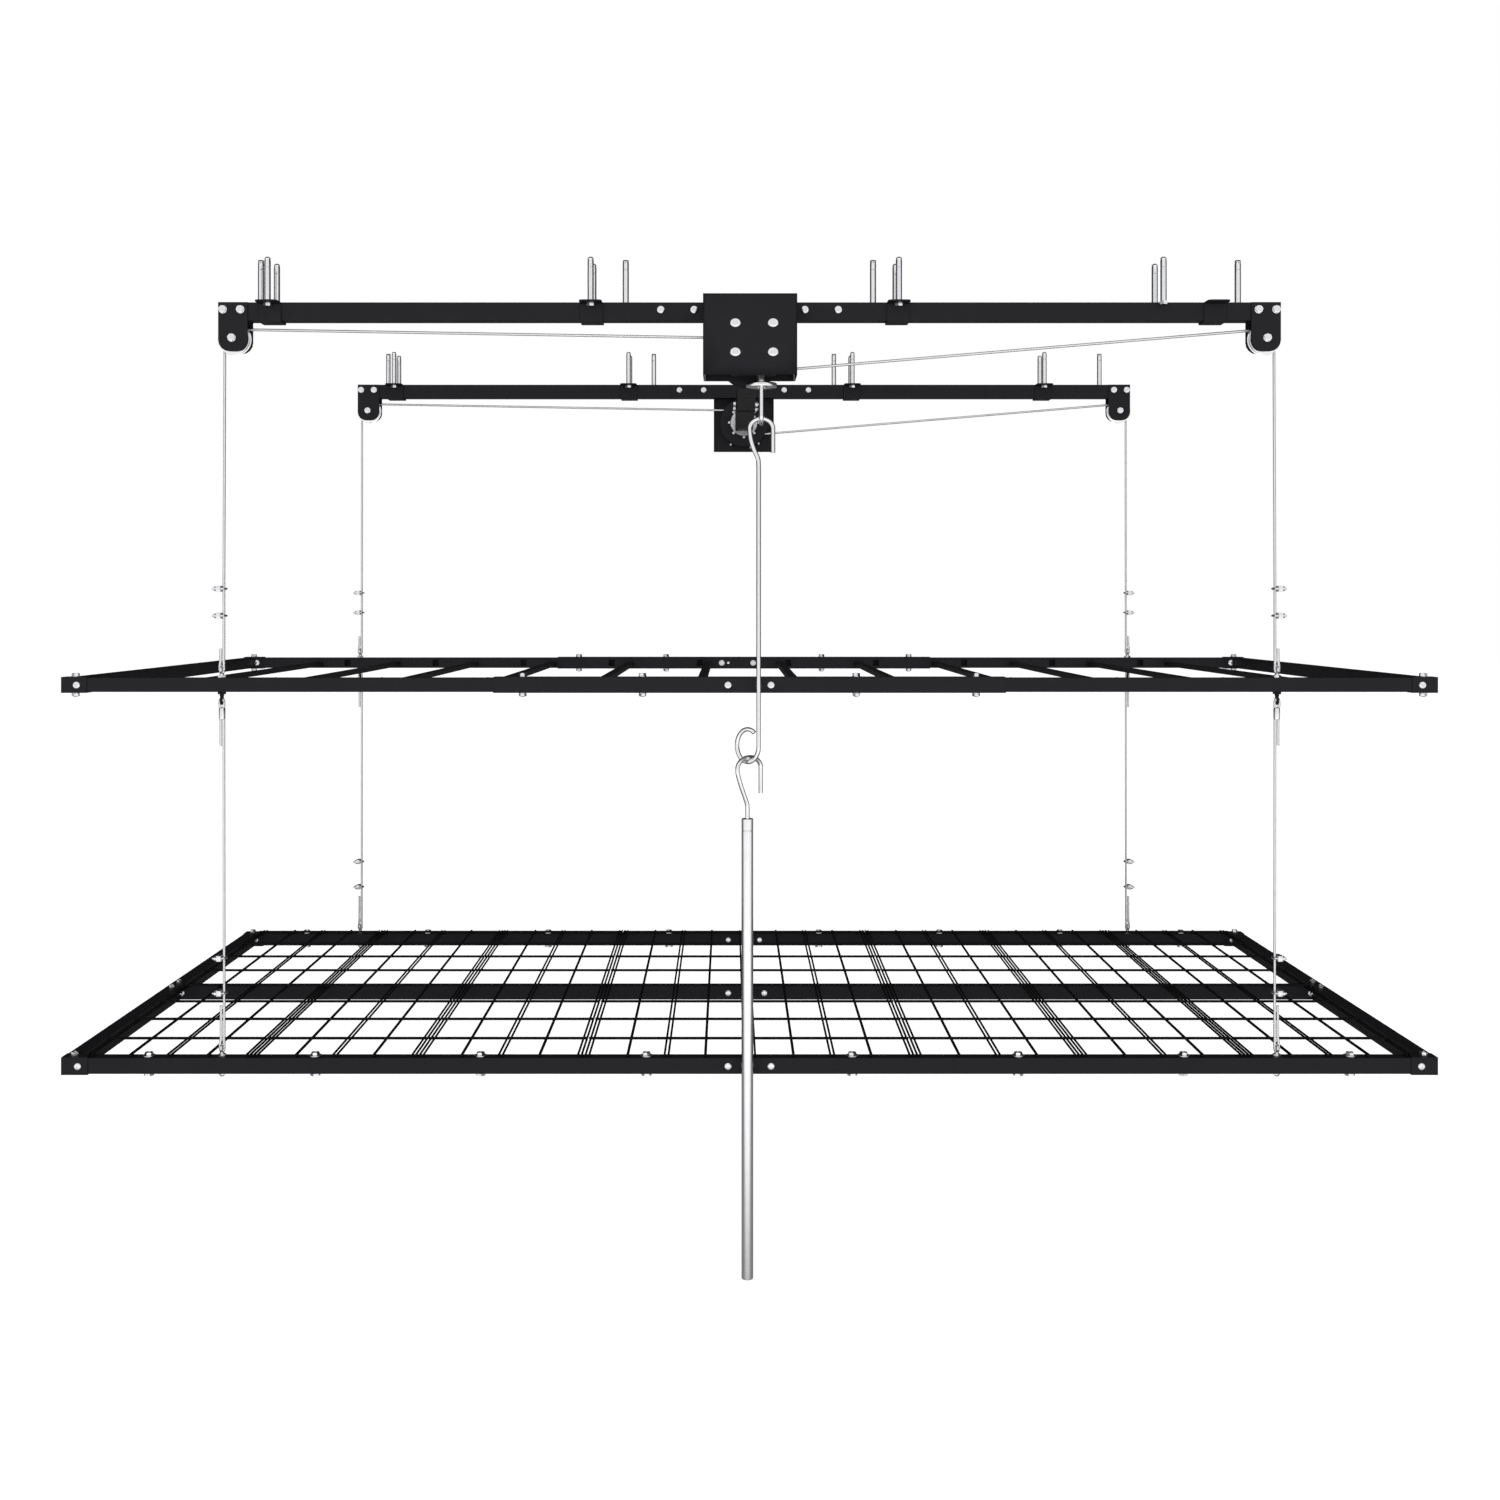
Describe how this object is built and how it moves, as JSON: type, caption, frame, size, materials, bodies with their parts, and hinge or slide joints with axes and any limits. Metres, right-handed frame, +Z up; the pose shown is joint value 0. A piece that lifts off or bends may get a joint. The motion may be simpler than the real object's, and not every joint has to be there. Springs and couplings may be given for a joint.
{
  "type": "ceiling mounted pulley rack",
  "caption": "Ceiling mounted storage rack: black steel rails carry pulleys and a worm winch, and wire ropes hold a slatted upper tier and a mesh deck that a hooked crank pole raises and lowers.",
  "frame": {"origin": "on the ceiling plane, midway between the two ceiling rails in both directions", "axes": "+X to the right along the rails, +Y from the winch side towards the back, +Z up"},
  "size_m": [2.438, 1.3568, 1.789],
  "materials": {
    "black_powder_coat": "satin black powder coat on steel",
    "black_mesh_coat": "black coated welded wire",
    "bright_zinc": "bright zinc plate",
    "wire_rope": "bright laid steel wire"
  },
  "bodies": {
    "ceiling_frame": {"front_anchor_pair": "black_powder_coat", "front_ceiling_saddle_1": "black_powder_coat", "front_ceiling_saddle_2": "black_powder_coat", "front_ceiling_saddle_3": "black_powder_coat", "front_ceiling_saddle_4": "black_powder_coat", "front_rail_left": "black_powder_coat", "front_rail_right": "black_powder_coat", "gear_cover": "black_powder_coat", "gear_housing": "black_powder_coat", "pulley_axle_front_left": "bright_zinc", "pulley_axle_front_right": "bright_zinc", "pulley_axle_rear_left": "bright_zinc", "pulley_axle_rear_right": "bright_zinc", "pulley_bracket_front_left": "black_powder_coat", "pulley_bracket_front_right": "black_powder_coat", "pulley_bracket_rear_left": "black_powder_coat", "pulley_bracket_rear_right": "black_powder_coat", "rear_ceiling_saddle_1": "black_powder_coat", "rear_ceiling_saddle_2": "black_powder_coat", "rear_ceiling_saddle_3": "black_powder_coat", "rear_ceiling_saddle_4": "black_powder_coat", "rear_drum_plate": "black_powder_coat", "rear_rail_left": "black_powder_coat", "rear_rail_right": "black_powder_coat", "rope_drop_front_left": "wire_rope", "rope_drop_front_right": "wire_rope", "rope_drop_rear_left": "wire_rope", "rope_drop_rear_right": "wire_rope", "rope_run_front_left": "wire_rope", "rope_run_front_right": "wire_rope", "rope_run_rear_left": "wire_rope", "rope_run_rear_right": "wire_rope"},
    "rack": {"hanger_front_left": "bright_zinc", "hanger_front_right": "bright_zinc", "hanger_rear_left": "bright_zinc", "hanger_rear_right": "bright_zinc", "lower_beam_front": "black_powder_coat", "lower_beam_middle": "black_powder_coat", "lower_beam_rear": "black_powder_coat", "lower_end_left": "black_powder_coat", "lower_end_right": "black_powder_coat", "mesh_deck_left": "black_mesh_coat", "mesh_deck_right": "black_mesh_coat", "upper_end_left": "black_powder_coat", "upper_end_right": "black_powder_coat", "upper_ladder_centre": "black_powder_coat", "upper_ladder_left": "black_powder_coat", "upper_ladder_right": "black_powder_coat"},
    "winch_drive": {"front_drum": "black_powder_coat", "rear_drum": "black_powder_coat", "drive_tube_front": "black_powder_coat", "drive_tube_rear": "black_powder_coat", "worm_wheel": "bright_zinc"},
    "winch_input": {"worm_shaft": "bright_zinc"},
    "crank_rod": {"crank_rod": "bright_zinc"},
    "crank_handle": {"crank_handle": "bright_zinc"},
    "pulley_front_left": {"pulley_front_left": "bright_zinc"},
    "pulley_front_right": {"pulley_front_right": "bright_zinc"},
    "pulley_rear_left": {"pulley_rear_left": "bright_zinc"},
    "pulley_rear_right": {"pulley_rear_right": "bright_zinc"}
  },
  "joints": [
    {"name": "rack_lift", "type": "slide", "parent": "ceiling_frame", "child": "rack", "axis": [0, 0, 1], "range_m": [-0.89459, 0.35367], "deforming": ["rope_drop_front_left", "rope_drop_front_right", "rope_drop_rear_left", "rope_drop_rear_right"]},
    {"name": "drive_spin", "type": "hinge", "parent": "ceiling_frame", "child": "winch_drive", "pos_m": [0, 0, -0.092], "axis": [0, 1, 0], "range_deg": [-1725, 685]},
    {"name": "input_spin", "type": "hinge", "parent": "ceiling_frame", "child": "winch_input", "pos_m": [0.02, -0.6595, -0.1], "axis": [0, 0, 1], "range_deg": [-360, 360]},
    {"name": "pulley_spin_front_left", "type": "hinge", "parent": "ceiling_frame", "child": "pulley_front_left", "pos_m": [-0.916, -0.5945, -0.063], "axis": [0, 1, 0], "range_deg": [-2965, 1173]},
    {"name": "pulley_spin_front_right", "type": "hinge", "parent": "ceiling_frame", "child": "pulley_front_right", "pos_m": [0.916, -0.5945, -0.063], "axis": [0, 1, 0], "range_deg": [-1173, 2965]},
    {"name": "pulley_spin_rear_left", "type": "hinge", "parent": "ceiling_frame", "child": "pulley_rear_left", "pos_m": [-0.916, 0.5945, -0.063], "axis": [0, 1, 0], "range_deg": [-2965, 1173]},
    {"name": "pulley_spin_rear_right", "type": "hinge", "parent": "ceiling_frame", "child": "pulley_rear_right", "pos_m": [0.916, 0.5945, -0.063], "axis": [0, 1, 0], "range_deg": [-1173, 2965]},
    {"name": "crank_rod_swing", "type": "hinge", "parent": "winch_input", "child": "crank_rod", "pos_m": [0.02, -0.6595, -0.2193], "axis": [0, 1, 0], "range_deg": [-30, 30]},
    {"name": "crank_handle_swing", "type": "hinge", "parent": "crank_rod", "child": "crank_handle", "pos_m": [-0.0034, -0.65071, -0.8104], "axis": [0.9063, -0.4226, 0], "range_deg": [-45, 1.5]}
  ],
  "couplings": [
    {"joint": "drive_spin", "follows": "rack_lift", "rad_per_m": 33.557},
    {"joint": "pulley_spin_front_left", "follows": "rack_lift", "rad_per_m": 57.803},
    {"joint": "pulley_spin_front_right", "follows": "rack_lift", "rad_per_m": -57.803},
    {"joint": "pulley_spin_rear_left", "follows": "rack_lift", "rad_per_m": 57.803},
    {"joint": "pulley_spin_rear_right", "follows": "rack_lift", "rad_per_m": -57.803}
  ]
}
